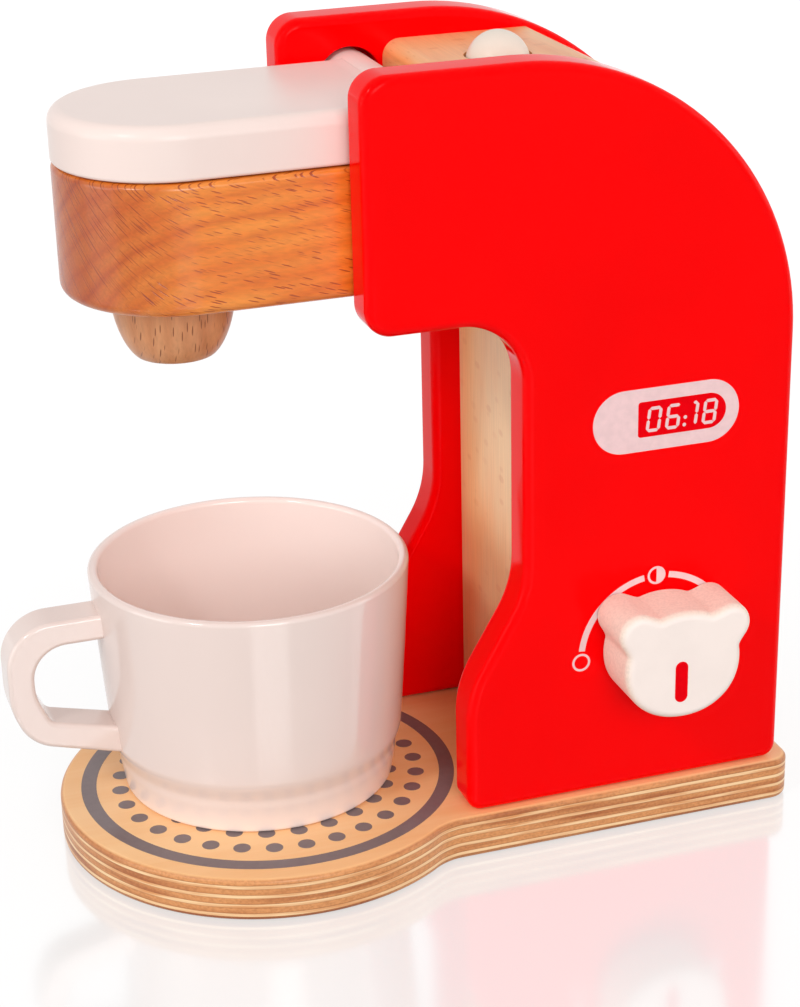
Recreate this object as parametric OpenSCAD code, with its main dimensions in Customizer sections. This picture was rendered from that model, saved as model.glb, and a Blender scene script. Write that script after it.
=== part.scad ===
/* [Base board] */
// Thickness of the plywood base
base_t = 12; // [10:0.5:16]
// Radius of the round front lobe
lobe_r = 56; // [50:1:62]
// How far the base reaches past the side panels' rear edge
base_rear_lip = 4.1; // [1:0.1:10]
// How far the base stands proud of the side panels on each side
base_lip = 2; // [1:0.5:4]
// Radius of the hollow curve between lobe and straight side
neck_r = 14; // [8:1:20]
// Radius of the base's rear corners
base_corner_r = 6; // [3:1:10]
// Rounding of the base's top and bottom edges
base_edge = 1; // [0.5:0.25:2]

/* [Side panels] */
// Thickness of a side panel
panel_t = 12; // [10:0.5:14]
// Clear width between the two side panels
gap_w = 57.2; // [54:0.2:62]
// How far the panels stand above the top block
panel_proud = 6.8; // [4:0.1:14]
// Rear edge of the panels
panel_rear = 132.4; // [130:0.2:140]
// Radius of the large curve from top to rear
back_r = 74; // [68:1:78]
// Front edge of the panels' arm
arm_front = 19.2; // [14:0.2:24]
// How far the panels' arm reaches below the arm block
arm_drop = 7; // [3:0.5:9]
// Front edge of the panels' column
column_front = 59.2; // [56:0.2:62]
// Front edge of the panels' foot
foot_front = 43.4; // [42:0.2:48]
// Height where the foot starts to lean back to the column
foot_top = 45.6; // [42:0.2:50]
// Height where the lean reaches the column
foot_lean_top = 72.3; // [68:0.2:78]
// Radius of the arm's front corners
arm_corner_r = 8; // [6:0.5:10]
// Radius of the hollow corner under the arm
notch_r = 16; // [12:1:18]
// Radius of the two soft bends of the foot
foot_bend_r = 30; // [20:1:36]
// Radius of the panels' bottom corners
panel_corner_r = 4; // [2:0.5:6]
// Rounding of the panels' edges
panel_edge = 2.5; // [1:0.25:3]

/* [Arm block] */
// Clear height from the base's top to the arm block
clear_h = 140; // [130:0.5:150]
// Height of the arm block
block_h = 32.2; // [30:0.2:34]
// Front end of the arm block
block_front = 45; // [42:0.2:50]
// How far the arm block and the rear board lie inside the panels' rear edge
rear_recess = 14.4; // [10:0.1:18]
// Rounding of the arm block's lower edge
block_edge_low = 3; // [1:0.25:4]
// Rounding of the arm block's upper edge
block_edge_high = 1.5; // [0.5:0.25:2]
// Radius of the capsule recess under the lid
recess_r = 17; // [14:0.5:19]
// Depth of the capsule recess
recess_depth = 18; // [14:0.5:20]

/* [Top block] */
// Height of the top block
top_block_h = 16.5; // [15.5:0.1:18]
// Distance from the hinge bar's centre to the top block's front face
top_block_gap = 8.7; // [8.3:0.1:9.7]
// Rounding of the top block's front edge
top_block_edge = 4.5; // [2:0.25:6]
// Distance from the button's centre to the first slope
slope_gap = 18.2; // [15:0.1:20]
// Length of the first slope, along the part
slope_run = 18; // [14:0.5:18.5]
// Angle of the first slope
slope_angle = 28; // [26:1:32]
// Angle of the second slope
steep_angle = 54; // [50:1:58]

/* [Column boards] */
// Thickness of the front and rear boards
board_t = 9; // [7:0.5:10]
// How far the front board lies behind the column's front edge
front_recess = 7.6; // [4:0.2:12]

/* [Lid] */
// Thickness of the lid
lid_t = 13; // [11:0.5:14]
// Clearance on each side of the lid, between the panels
lid_side = 1; // [0.6:0.1:1.5]
// Clearance between the lid and the arm block
lid_seat = 0.3; // [0.2:0.05:0.5]
// How far the lid's front end reaches past the arm block's
lid_ahead = 0; // [0:0.1:3]
// Rounding of the lid's upper edge
lid_edge_high = 3.5; // [1:0.25:4]
// Rounding of the lid's lower edge
lid_edge_low = 1; // [0.5:0.25:2]
// Distance of the hinge bar from the lobe's centre
bar_y = 38.3; // [36:0.1:38.5]
// Radius of the hinge bar
bar_r = 7.4; // [6.8:0.1:7.6]
// Depth of the blind bores that hold the bar
bar_depth = 8; // [6:0.5:9]
// Radial clearance of the bar in its bores
bar_clearance = 0.1; // [0.05:0.01:0.1]
// Gap between the bar and the cove in the arm block
cove_gap = 0.5; // [0.3:0.05:0.8]

/* [Spout] */
// Place of the spout, from the lobe's centre
spout_y = -17.9; // [-20:0.1:-16]
// Radius of the spout where it meets the arm block
spout_r = 15.5; // [14:0.1:16.5]
// Height of the spout below the arm block
spout_h = 17.4; // [15:0.1:20]
// Radius of the spout's flat lower end
spout_tip_r = 9.4; // [8:0.1:11]
// Power that shapes the spout's sides; 1 gives a quarter ellipse
spout_swell = 1.4; // [1:0.1:1.8]
// Radius of the spout's tenon
tenon_r = 7; // [5:0.5:8]
// Length of the spout's tenon
tenon_h = 8; // [6:0.5:9]

/* [Push button] */
// Distance of the button from the top block's front face
button_back = 20.8; // [18:0.1:22]
// Radius of the button
button_r = 8.4; // [7:0.1:9]
// Step from the button's guide to its dome
button_step = 0.3; // [0.1:0.1:0.6]
// Height of the dome above the top block
button_proud = 6.1; // [5:0.1:7]
// How far the button can be pressed
button_travel = 3.5; // [2:0.1:4]
// Depth of the button's bore in the top block
button_bore_depth = 12.5; // [11.5:0.1:13]
// Radial clearance of the button in its bore
button_clearance = 0.1; // [0.05:0.01:0.1]
// Radius of the button's stem
stem_r = 3; // [2.5:0.1:3.5]
// Radius of the stop washer
stop_r = 6; // [5:0.1:7]
// Thickness of the stop washer
stop_t = 1.2; // [1:0.1:2]

/* [Button spring] */
// Mean radius of the spring
spring_r = 5.5; // [5:0.1:6]
// Radius of the spring's wire
wire_r = 0.35; // [0.3:0.05:0.45]
// Number of turns
spring_turns = 3.5; // [2.5:0.5:4]

/* [Knob] */
// Distance of the knob's axis from the panels' rear edge
knob_from_rear = 36; // [33:0.2:39]
// Height of the knob's axis
knob_z = 52.2; // [48:0.2:60]
// Half width of the knob's head outline
knob_a = 16; // [14:0.1:18]
// Half height of the knob's head outline
knob_b = 14.9; // [13:0.1:17]
// Height of the head's centre above the knob's axis
head_rise = 1.1; // [0:0.1:2]
// Distance of an ear's centre from the head's centre
ear_out = 16; // [15:0.1:17]
// Radius of an ear
ear_r = 5.6; // [4.5:0.1:6.5]
// Direction of the ears above the horizontal, in degrees
ear_angle = 38; // [32:1:44]
// How far the knob stands turned, clockwise seen from its side, in degrees
knob_turned = 2.4; // [0:0.1:10]
// Thickness of the knob
knob_t = 16.2; // [13:0.1:18]
// Rounding of the knob's front edge
knob_edge = 2.8; // [1:0.1:3.5]
// Radius of the knob's axle
axle_r = 4; // [3:0.1:5]
// Radial clearance of the axle in the panel
axle_clearance = 0.08; // [0.05:0.01:0.1]
// Depth of the axle's seat in the knob
axle_seat = 8; // [6:0.5:9]
// Thickness of the washer between knob and panel
knob_washer_t = 0.5; // [0.4:0.1:0.8]
// Radius of that washer
knob_washer_r = 8; // [6:0.5:10]
// Thickness of the retainer disc inside
retainer_t = 4; // [3:0.5:5]
// Radius of the retainer disc
retainer_r = 8; // [6:0.5:9]

/* [Cup] */
// Sideways place of the cup
cup_x = -4.5; // [-8:0.5:4]
// Fore and aft place of the cup
cup_y = -1.2; // [-6:0.2:0]
// Height of the cup
cup_h = 62.8; // [56:0.2:66]
// How far the cup's rim flares out past the wall's lower end
rim_flare = 3.7; // [2:0.1:6]
// Outer radius of the cup above the foot band
belly_r = 38.4; // [37:0.1:40]
// Step from the wall's lower end in to the foot band
foot_step = 1.2; // [0.5:0.1:3]
// Height of the foot band
foot_h = 10.5; // [8:0.5:12]
// Wall thickness of the cup
cup_wall = 2.6; // [2.2:0.1:3]
// Thickness of the cup's floor
cup_floor = 4; // [3:0.5:5]
// How far the handle reaches out from the wall's lower end
handle_out = 27.9; // [24:0.1:32]
// Height of the handle's upper edge above the base
handle_high = 54.7; // [50:0.1:56]
// Height of the handle's lower edge at the cup
handle_low = 14.8; // [13:0.2:18]
// Thickness of the handle's strap
strap_t = 6.1; // [5:0.1:7]
// Width of the handle's strap
strap_w = 11.5; // [8:0.5:13]
// Gap for glue between the handle's ends and the cup's wall
glue_gap = 0.2; // [0.18:0.01:0.3]
// Rounding of the strap's outer edges
strap_edge = 1.2; // [0.5:0.1:1.5]

/* [Fasteners] */
// Radius of the cross dowels
dowel_r = 3; // [2:0.5:3.5]
// Depth of a dowel in a panel
dowel_in_panel = 8; // [6:0.5:9]
// Depth of a dowel in a block or board
dowel_in_block = 12; // [8:1:16]
// Radius of a screw's shank
screw_r = 1.6; // [1.2:0.1:2]
// Radius of a screw's countersunk head
screw_head_r = 3.4; // [2.6:0.1:4]
// Height of a screw's head
screw_head_h = 2; // [1.5:0.1:2.5]
// Length of the base screws
base_screw_l = 30; // [24:1:36]
// How far the small screws reach into the button's stem and the knob's axle
screw_bite = 7; // [5:0.5:8]
// Clearance round glued and screwed shanks
seat_clearance = 0.05; // [0.02:0.01:0.1]

/* [Hidden] */
$fn = 64;

gap_half = gap_w / 2;
panel_out = gap_half + panel_t;
base_half = panel_out + base_lip;
base_rear = panel_rear + base_rear_lip;
block_low = base_t + clear_h;
block_top = block_low + block_h;
block_rear = panel_rear - rear_recess;
arm_low = block_low - arm_drop;
top_block_z = block_top + top_block_h;
top_z = top_block_z + panel_proud;
top_block_front = bar_y + top_block_gap;
button_y = top_block_front + button_back;
slope_start = button_y + slope_gap;
slope_mid = slope_start + slope_run;
front_board_y = column_front + front_recess;
lid_front = block_front + lid_ahead;
lid_half = gap_half - lid_side;
lid_low = block_top + lid_seat;
bar_z = lid_low + lid_t / 2;
bar_bore_r = bar_r + bar_clearance;
rear_board_y = block_rear - board_t;
slope_mid_z = top_block_z - slope_run * tan(slope_angle);
steep_run = (slope_mid_z - block_top) / tan(steep_angle);
button_floor_z = top_block_z - button_bore_depth;
dome_r = button_r - button_step;
dome_z = top_block_z + button_proud - dome_r;
button_low = button_floor_z + button_travel + 2 * wire_r * (spring_turns + 0.5);
stop_gap = button_travel + 6;           // room below the stop washer for the press and the screw
knob_back = panel_out + knob_washer_t;
axle_end = gap_half - seat_clearance;
knob_y = panel_rear - knob_from_rear;
cup_z = base_t;
rim_r = belly_r + rim_flare;
foot_r = belly_r - foot_step;
handle_reach = belly_r + handle_out;
arc_step = 9;                           // degrees of a corner's arc per facet
edge_steps = 3;                         // facets across a rounded edge
head_power = 2.1;                       // 2 makes the knob's head an ellipse, more squares it
blend_power = 15;                       // how sharply an ear meets the head
soften = 2.5;                           // degrees between the radii averaged where an ear meets the head
knob_points = 120;

// cross dowels through the side panels, as [along the part, height]
dowel_inset = 11;                       // from an edge of the arm block or the panels' arm
board_dowel_inset = 35;                 // from a board's lower or upper end
dowel_spots = [
    [arm_front + dowel_inset, block_low + dowel_inset],
    [block_rear - dowel_inset, block_low + dowel_inset],
    [slope_start, block_top + top_block_h / 2],
    for (y = [front_board_y, rear_board_y], z = [base_t + board_dowel_inset, block_low - board_dowel_inset])
        [y + board_t / 2, z]];
panel_mid = gap_half + panel_t / 2;
board_screw_x = gap_w / 5;
screw_spots = [for (s = [-1, 1]) each [[s * panel_mid, column_front], [s * panel_mid, block_rear]],
               for (y = [front_board_y, rear_board_y], s = [-1, 1]) [s * board_screw_x, y + board_t / 2]];

// ---- outlines -------------------------------------------------------------------------------
function unit(v) = v / norm(v);
function left_of(v) = [-v[1], v[0]];
function turn(a, b) = a[0] * b[1] - a[1] * b[0];

// Points of one corner of an outline that runs anticlockwise, moved inwards by d.
// A corner is [x, y, radius]; an outer bend loses d of its radius and an inner bend gains it.
function corner_arc(before, at, after, d) =
    let (in_dir = unit([at[0] - before[0], at[1] - before[1]]),
         out_dir = unit([after[0] - at[0], after[1] - at[1]]),
         bend = turn(in_dir, out_dir),
         half = acos(max(-1, min(1, in_dir * out_dir))) / 2,
         n_in = left_of(in_dir), n_out = left_of(out_dir),
         corner = [at[0], at[1]] + d * (n_in + n_out) / (1 + n_in * n_out),
         r = max(0.01, at[2] - sign(bend) * d),
         start = corner - in_dir * r * tan(half),
         centre = start + sign(bend) * n_in * r,
         spoke = start - centre,
         steps = max(1, ceil(2 * half / arc_step)))
    [for (i = [0 : steps]) let (a = sign(bend) * 2 * half * i / steps)
        centre + [spoke[0] * cos(a) - spoke[1] * sin(a), spoke[0] * sin(a) + spoke[1] * cos(a)]];

function corner_outline(corners, d = 0) =
    let (n = len(corners))
    [for (i = [0 : n - 1]) each corner_arc(corners[(i + n - 1) % n], corners[i], corners[(i + 1) % n], d)];

function arc_points(centre, r, from, to, steps) =
    [for (i = [0 : steps]) let (a = from + (to - from) * i / steps) centre + r * [cos(a), sin(a)]];

// Plan of the base: a round lobe, hollow necks and a straight body with rounded rear corners
neck_centre = [base_half + neck_r, sqrt(pow(lobe_r + neck_r, 2) - pow(base_half + neck_r, 2))];
neck_angle = atan2(neck_centre[1], neck_centre[0]);
function base_outline(d) =
    let (w = base_half - d, r = base_corner_r - d)
    concat(arc_points([0, 0], lobe_r - d, -180 - neck_angle, neck_angle, 40),
           arc_points(neck_centre, neck_r + d, 180 + neck_angle, 180, 5),
           arc_points([w - r, base_rear - d - r], r, 0, 90, 5),
           arc_points([r - w, base_rear - d - r], r, 90, 180, 5),
           arc_points([-neck_centre[0], neck_centre[1]], neck_r + d, 0, -neck_angle, 5));

// Side view of a panel, as [along the part, height, radius]
panel_corners = [
    [foot_front, base_t, panel_corner_r], [panel_rear, base_t, panel_corner_r],
    [panel_rear, top_z, back_r], [arm_front, top_z, arm_corner_r], [arm_front, arm_low, arm_corner_r],
    [column_front, arm_low, notch_r], [column_front, foot_lean_top, foot_bend_r],
    [foot_front, foot_top, foot_bend_r]];

// Plan of a board with a round front end, as the lid and the arm block have
function tongue_corners(half, front, rear) =
    [[-half, -front, half - 0.05], [half, -front, half - 0.05], [half, rear, 1], [-half, rear, 1]];

// The knob's outline: a soft oval head and two round ears, blended by the larger radius
function head_radius(a) =
    pow(pow(abs(cos(a)) / knob_a, head_power) + pow(abs(sin(a)) / knob_b, head_power), -1 / head_power);
function ear_radius(a) =
    let (off = abs(90 - a) - (90 - ear_angle), inside = ear_r * ear_r - pow(ear_out * sin(off), 2))
    max(0, ear_out * cos(off) + sign(inside) * sqrt(abs(inside)));
function sharp_radius(a) =
    pow(pow(head_radius(a), blend_power) + pow(ear_radius(a), blend_power), 1 / blend_power);
function knob_radius(a) = [for (i = [-2 : 2]) sharp_radius(a + i * soften)] * [1, 1, 1, 1, 1] / 5;
function knob_outline(d) =
    [for (i = [0 : knob_points - 1]) let (a = -90 + i * 360 / knob_points, t = a - knob_turned)
        head_rise * [sin(knob_turned), cos(knob_turned)] + (knob_radius(a) - d) * [cos(t), sin(t)]];

// Triangles that fill an outline, by cutting off one ear after another
function is_ear(pts, order, k) =
    let (n = len(order), a = pts[order[(k + n - 1) % n]], b = pts[order[k]], c = pts[order[(k + 1) % n]])
    turn(b - a, c - b) > 1e-7 &&
    len([for (i = [2 : n - 2]) let (p = pts[order[(k + i) % n]])
        if (turn(b - a, p - a) >= 0 && turn(c - b, p - b) >= 0 && turn(a - c, p - c) >= 0) 1]) == 0;
function next_ear(pts, order, k) =
    k >= len(order) - 1 || is_ear(pts, order, k) ? k : next_ear(pts, order, k + 1);
function fill(pts, order) =
    let (n = len(order), k = n > 3 ? next_ear(pts, order, 0) : 1,
         ear = [order[(k + n - 1) % n], order[k], order[(k + 1) % n]])
    n > 3 ? concat([ear], fill(pts, [for (i = [1 : n - 1]) order[(k + i) % n]])) : [ear];

// ---- shapes used by several pieces --------------------------------------------------------------
// A slab from z = 0 to t whose plan is outline(inset), with rounded lower and upper edges
module slab(outline, t, low, high) {
    angles = [for (i = [0 : edge_steps]) 90 * i / edge_steps];
    rings = concat(
        [for (i = [edge_steps : -1 : 0]) low * [1 - cos(angles[i]), 1 - sin(angles[i])]],
        [for (a = angles) [high * (1 - cos(a)), t - high * (1 - sin(a))]]);
    plans = [for (ring = rings) [for (p = outline(ring[0])) [p[0], p[1], ring[1]]]];
    n = len(plans[0]);
    last = len(plans) - 1;
    cap = fill(outline(high), [for (i = [0 : n - 1]) i]);
    polyhedron(
        points = [for (plan = plans) each plan],
        faces = concat(
            cap,
            [for (k = [0 : last - 1], i = [0 : n - 1])
                let (j = (i + 1) % n) [k * n + i, (k + 1) * n + i, (k + 1) * n + j, k * n + j]],
            [for (t = cap) [for (i = [2, 1, 0]) last * n + t[i]]]),
        convexity = 6);
}

// A slab drawn in side view and given thickness along X, its inner face at x = 0
module side_slab(outline, t, low, high) {
    rotate([90, 0, 90]) slab(outline, t, low, high);
}

// A rod along X from x0 to x1
module rod(r, x0, x1, y, z) {
    translate([x0, y, z]) rotate([0, 90, 0]) cylinder(r = r, h = x1 - x0);
}

// A countersunk screw pointing up, its head's flat at z = 0
module screw(length) {
    cylinder(r1 = screw_head_r, r2 = screw_r, h = screw_head_h);
    cylinder(r = screw_r, h = length);
}

// The hole for such a screw
module screw_hole(length) {
    grown = seat_clearance;
    cylinder(r1 = screw_head_r + grown, r2 = screw_r + grown, h = screw_head_h);
    cylinder(r = screw_r + grown, h = length);
}

module base_screw_holes() {
    for (p = screw_spots) translate([p[0], p[1], 0]) screw_hole(base_screw_l + seat_clearance);
}

module dowel_holes(side) {
    for (p = dowel_spots) {
        reach = dowel_in_panel + dowel_in_block + 2 * seat_clearance;
        start = gap_half - dowel_in_block - seat_clearance;
        translate([side > 0 ? start : -start - reach, 0, 0])
            rod(dowel_r + seat_clearance, 0, reach, p[0], p[1]);
    }
}

// ---- pieces ----------------------------------------------------------------------------------------
module base_board() {
    color("burlywood") difference() {
        slab(function(d) base_outline(d), base_t, base_edge, base_edge);
        base_screw_holes();
    }
}

// Red panel on the side of x = side; its blind bores hold the hinge bar and the dowels
module side_panel(side) {
    color("red") difference() {
        translate([side > 0 ? gap_half : -panel_out, 0, 0])
            side_slab(function(d) corner_outline(panel_corners, d), panel_t, panel_edge, panel_edge);
        translate([side > 0 ? gap_half - 1 : -gap_half - bar_depth, 0, 0])
            rod(bar_bore_r, 0, bar_depth + 1, bar_y, bar_z);
        dowel_holes(side);
        base_screw_holes();
        if (side > 0) rod(axle_r + axle_clearance, gap_half - 1, panel_out + 1, knob_y, knob_z);
    }
}

module side_panel_right() { side_panel(1); }
module side_panel_left() { side_panel(-1); }

// Profile of the two slopes behind the button, cut from both blocks
module slopes() {
    far = block_rear + 30;
    rotate([90, 0, 90]) translate([0, 0, -gap_half - 1]) linear_extrude(gap_w + 2) polygon([
        [slope_start, top_block_z],
        [slope_mid, slope_mid_z],
        [far, slope_mid_z - (far - slope_mid) * tan(steep_angle)],
        [far, top_block_z + 1],
        [slope_start, top_block_z + 1]]);
}

module arm_block() {
    color("peru") difference() {
        translate([0, 0, block_low])
            slab(function(d) corner_outline(tongue_corners(gap_half, block_front, block_rear), d),
                 block_h, block_edge_low, block_edge_high);
        slopes();
        rod(bar_r + cove_gap, -gap_half - 1, gap_half + 1, bar_y, bar_z);
        translate([0, spout_y, block_top - recess_depth]) cylinder(r = recess_r, h = recess_depth + 1);
        translate([0, spout_y, block_low - 1]) cylinder(r = tenon_r + seat_clearance, h = tenon_h + 1.2);
        translate([0, button_y, block_top - stop_gap]) cylinder(r = stop_r + 1, h = stop_gap + 1);
        for (s = [-1, 1]) dowel_holes(s);
    }
}

module top_block() {
    color("wheat") difference() {
        rotate([90, 0, 90]) translate([0, 0, -gap_half]) linear_extrude(gap_w) polygon(concat(
            [[top_block_front, block_top],
             [slope_mid + steep_run, block_top],
             [slope_mid, slope_mid_z],
             [slope_start, top_block_z]],
            arc_points([top_block_front + top_block_edge, top_block_z - top_block_edge],
                       top_block_edge, 90, 180, 8)));
        translate([0, button_y, button_floor_z])
            cylinder(r = button_r + button_clearance, h = button_bore_depth + 1);
        translate([0, button_y, block_top - 1])
            cylinder(r = stem_r + button_clearance, h = button_floor_z - block_top + 2);
        for (s = [-1, 1]) dowel_holes(s);
    }
}

module board(y) {
    difference() {
        translate([-gap_half, y, base_t]) cube([gap_w, board_t, block_low - base_t]);
        for (s = [-1, 1]) dowel_holes(s);
        base_screw_holes();
    }
}

module front_panel() { color("wheat") board(front_board_y); }
module rear_panel() { color("wheat") board(rear_board_y); }

// The lid's rear end wraps the hinge bar
module lid() {
    color("mistyrose") difference() {
        translate([0, 0, lid_low])
            slab(function(d) corner_outline(tongue_corners(lid_half, lid_front, bar_y), d),
                 lid_t, lid_edge_low, lid_edge_high);
        rod(bar_r, -gap_half, gap_half, bar_y, bar_z);
    }
}

module hinge_bar() {
    end_x = gap_half + bar_depth - 0.5;
    color("mistyrose") rod(bar_r, -end_x, end_x, bar_y, bar_z);
}

// Turned spout: a cup-shaped bead that narrows to a flat end, with its tenon above
module nozzle() {
    bowl = [for (i = [0 : 12]) let (a = 90 * i / 12)
        [spout_tip_r + (spout_r - spout_tip_r) * pow(sin(a), spout_swell), -spout_h * cos(a)]];
    color("tan") translate([0, spout_y, block_low]) rotate_extrude() polygon(concat(
        [[0, -spout_h]], bowl, [[tenon_r, 0], [tenon_r, tenon_h], [0, tenon_h]]));
}

// Domed head that slides in its bore, and a stem that passes the bore's floor
module button_dome() {
    color("mistyrose") translate([0, button_y, 0]) difference() {
        union() {
            intersection() {
                translate([0, 0, dome_z]) sphere(r = dome_r);
                translate([0, 0, dome_z]) cylinder(r = dome_r + 1, h = dome_r + 1);
            }
            translate([0, 0, button_low]) cylinder(r = button_r, h = dome_z - button_low);
            translate([0, 0, block_top]) cylinder(r = stem_r, h = button_low - block_top + 0.5);
        }
        translate([0, 0, block_top - 1]) cylinder(r = screw_r + seat_clearance, h = screw_bite + 2);
    }
}

// Compression spring, one unbroken wire swept along a helix
module button_spring() {
    sides = 6;
    per_turn = 14;
    steps = round(spring_turns * per_turn);
    low = button_floor_z + wire_r + 0.02;
    high = button_low - wire_r - 0.02;
    rings = [for (i = [0 : steps]) let (a = 360 * i / per_turn, z = low + (high - low) * i / steps)
        [for (k = [0 : sides - 1]) let (b = 360 * k / sides, r = spring_r + wire_r * cos(b))
            [r * cos(a), button_y + r * sin(a), z + wire_r * sin(b)]]];
    color("silver") polyhedron(
        points = [for (ring = rings) each ring],
        faces = concat(
            [[for (k = [0 : sides - 1]) k]],
            [for (i = [0 : steps - 1], k = [0 : sides - 1]) let (j = (k + 1) % sides)
                each [[i * sides + k, (i + 1) * sides + k, (i + 1) * sides + j],
                      [i * sides + k, (i + 1) * sides + j, i * sides + j]]],
            [[for (k = [sides - 1 : -1 : 0]) steps * sides + k]]));
}

module button_washer() {
    color("silver") translate([0, button_y, block_top - stop_t]) difference() {
        cylinder(r = stop_r, h = stop_t);
        translate([0, 0, -1]) cylinder(r = screw_r + seat_clearance, h = stop_t + 2);
    }
}

// Pan-head screw through the stop washer into the button's stem
module button_screw() {
    color("silver") translate([0, button_y, block_top - stop_t]) {
        translate([0, 0, -screw_head_h]) cylinder(r = screw_head_r, h = screw_head_h);
        cylinder(r = screw_r, h = stop_t + screw_bite);
    }
}

module knob() {
    color("mistyrose") difference() {
        translate([knob_back, knob_y, knob_z]) side_slab(function(d) knob_outline(d), knob_t, 0.5, knob_edge);
        rod(axle_r + seat_clearance, knob_back - 1, knob_back + axle_seat, knob_y, knob_z);
    }
}

module knob_axle() {
    color("tan") difference() {
        rod(axle_r, axle_end, knob_back + axle_seat - 0.2, knob_y, knob_z);
        rod(screw_r + seat_clearance, axle_end - 1, axle_end + screw_bite + 1, knob_y, knob_z);
    }
}

module knob_washer() {
    color("dimgray") difference() {
        rod(knob_washer_r, panel_out, panel_out + knob_washer_t - 0.1, knob_y, knob_z);
        rod(axle_r + axle_clearance, panel_out - 1, knob_back + 1, knob_y, knob_z);
    }
}

module knob_retainer() {
    color("silver") difference() {
        rod(retainer_r, axle_end - retainer_t, axle_end, knob_y, knob_z);
        rod(screw_r + seat_clearance, axle_end - retainer_t - 1, axle_end + 1, knob_y, knob_z);
    }
}

module knob_screw() {
    color("silver") {
        rod(screw_head_r, axle_end - retainer_t - screw_head_h, axle_end - retainer_t, knob_y, knob_z);
        rod(screw_r, axle_end - retainer_t - 0.5, axle_end + screw_bite, knob_y, knob_z);
    }
}

// Cup: turned wall with a foot band and a rounded lip; its handle points to the front
function wall_radius(h) = belly_r + (rim_r - belly_r) * pow((h - foot_h) / (cup_h - foot_h), 0.85);
lip_r = cup_wall / 2;
wall_low = foot_h + 1;
wall_heights = [for (i = [0 : 8]) wall_low + (cup_h - lip_r - wall_low) * i / 8];

module cup() {
    inside_r = belly_r - cup_wall;
    color("mistyrose") translate([cup_x, cup_y, cup_z]) rotate_extrude() polygon(concat(
        [[0, 0], [foot_r - 1.6, 0], [foot_r - 0.6, 0.9], [foot_r, foot_h - 0.6], [foot_r + 0.3, foot_h]],
        [for (h = wall_heights) [wall_radius(h), h]],
        arc_points([rim_r - lip_r, cup_h - lip_r], lip_r, 20, 180, 6),
        [for (i = [8 : -1 : 1]) [wall_radius(wall_heights[i]) - cup_wall, wall_heights[i] - lip_r]],
        [[inside_r - 0.6, cup_floor + 6], [inside_r - 2.2, cup_floor + 2.2], [inside_r - 6, cup_floor]],
        [[0, cup_floor]]));
}

// Side view of the handle, as [distance from the cup's axis, height, radius]
handle_root = belly_r - 1;
handle_outer = [
    [handle_reach - 4.3, handle_low + 6.7, 12], [handle_reach, handle_low + 17.2, 20],
    [handle_reach, handle_high, 12.5], [handle_root, handle_high, 0.1], [handle_root, handle_low, 0.1]];
handle_inner = [
    [handle_reach - strap_t - 2.8, handle_low + strap_t + 5.3, 3.5],
    [handle_reach - strap_t, handle_low + 19.7, 14], [handle_reach - strap_t, handle_high - strap_t, 9],
    [handle_root - 3, handle_high - strap_t, 0.1], [handle_root - 3, handle_low + strap_t + 0.6, 0.1]];

// Strap handle, its two ends cut to a cone that clears the cup's wall
module cup_handle() {
    cone_low = handle_low - 2;
    cone_high = handle_high + 2;
    color("mistyrose") translate([cup_x, cup_y, cup_z]) difference() {
        rotate([90, 0, -90]) translate([0, 0, -strap_w / 2])
            slab(function(d) corner_outline(handle_outer, d), strap_w, strap_edge, strap_edge);
        rotate([90, 0, -90]) translate([0, 0, -strap_w / 2 - 1])
            linear_extrude(strap_w + 2) polygon(corner_outline(handle_inner));
        translate([0, 0, cone_low])
            cylinder(r1 = wall_radius(cone_low) + glue_gap, r2 = wall_radius(cone_high) + glue_gap,
                     h = cone_high - cone_low);
    }
}

module panel_dowels() {
    color("tan") for (p = dowel_spots, s = [-1, 1])
        translate([s > 0 ? gap_half - dowel_in_block : -gap_half - dowel_in_panel, 0, 0])
            rod(dowel_r, 0, dowel_in_panel + dowel_in_block, p[0], p[1]);
}

module base_screws() {
    color("silver") for (p = screw_spots) translate([p[0], p[1], 0]) screw(base_screw_l);
}

base_board();
side_panel_right();
side_panel_left();
arm_block();
top_block();
front_panel();
rear_panel();
lid();
hinge_bar();
nozzle();
button_dome();
button_spring();
button_washer();
button_screw();
knob();
knob_axle();
knob_washer();
knob_retainer();
knob_screw();
cup();
cup_handle();
panel_dowels();
base_screws();
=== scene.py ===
from math import atan2, ceil, cos, degrees, pi, radians, sin, sqrt, tan

import bmesh
import bpy
from mathutils import Euler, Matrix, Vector


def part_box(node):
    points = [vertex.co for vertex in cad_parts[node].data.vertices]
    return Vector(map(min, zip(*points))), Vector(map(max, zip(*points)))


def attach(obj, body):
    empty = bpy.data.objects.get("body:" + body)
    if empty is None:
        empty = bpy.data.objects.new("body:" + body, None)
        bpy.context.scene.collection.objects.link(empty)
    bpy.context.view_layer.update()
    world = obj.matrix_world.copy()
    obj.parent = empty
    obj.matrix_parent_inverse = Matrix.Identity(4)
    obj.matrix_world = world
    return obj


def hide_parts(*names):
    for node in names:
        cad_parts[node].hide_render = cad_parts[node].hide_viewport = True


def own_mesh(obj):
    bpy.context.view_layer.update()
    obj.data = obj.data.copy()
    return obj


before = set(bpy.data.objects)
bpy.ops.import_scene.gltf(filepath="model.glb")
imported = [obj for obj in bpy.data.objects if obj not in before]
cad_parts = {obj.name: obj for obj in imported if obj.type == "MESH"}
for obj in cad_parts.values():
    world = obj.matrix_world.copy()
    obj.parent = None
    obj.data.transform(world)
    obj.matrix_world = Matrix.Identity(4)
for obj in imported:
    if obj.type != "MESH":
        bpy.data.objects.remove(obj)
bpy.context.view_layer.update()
mm = 0.001
print("frame loaded with", len(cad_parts), "nodes")

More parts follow.
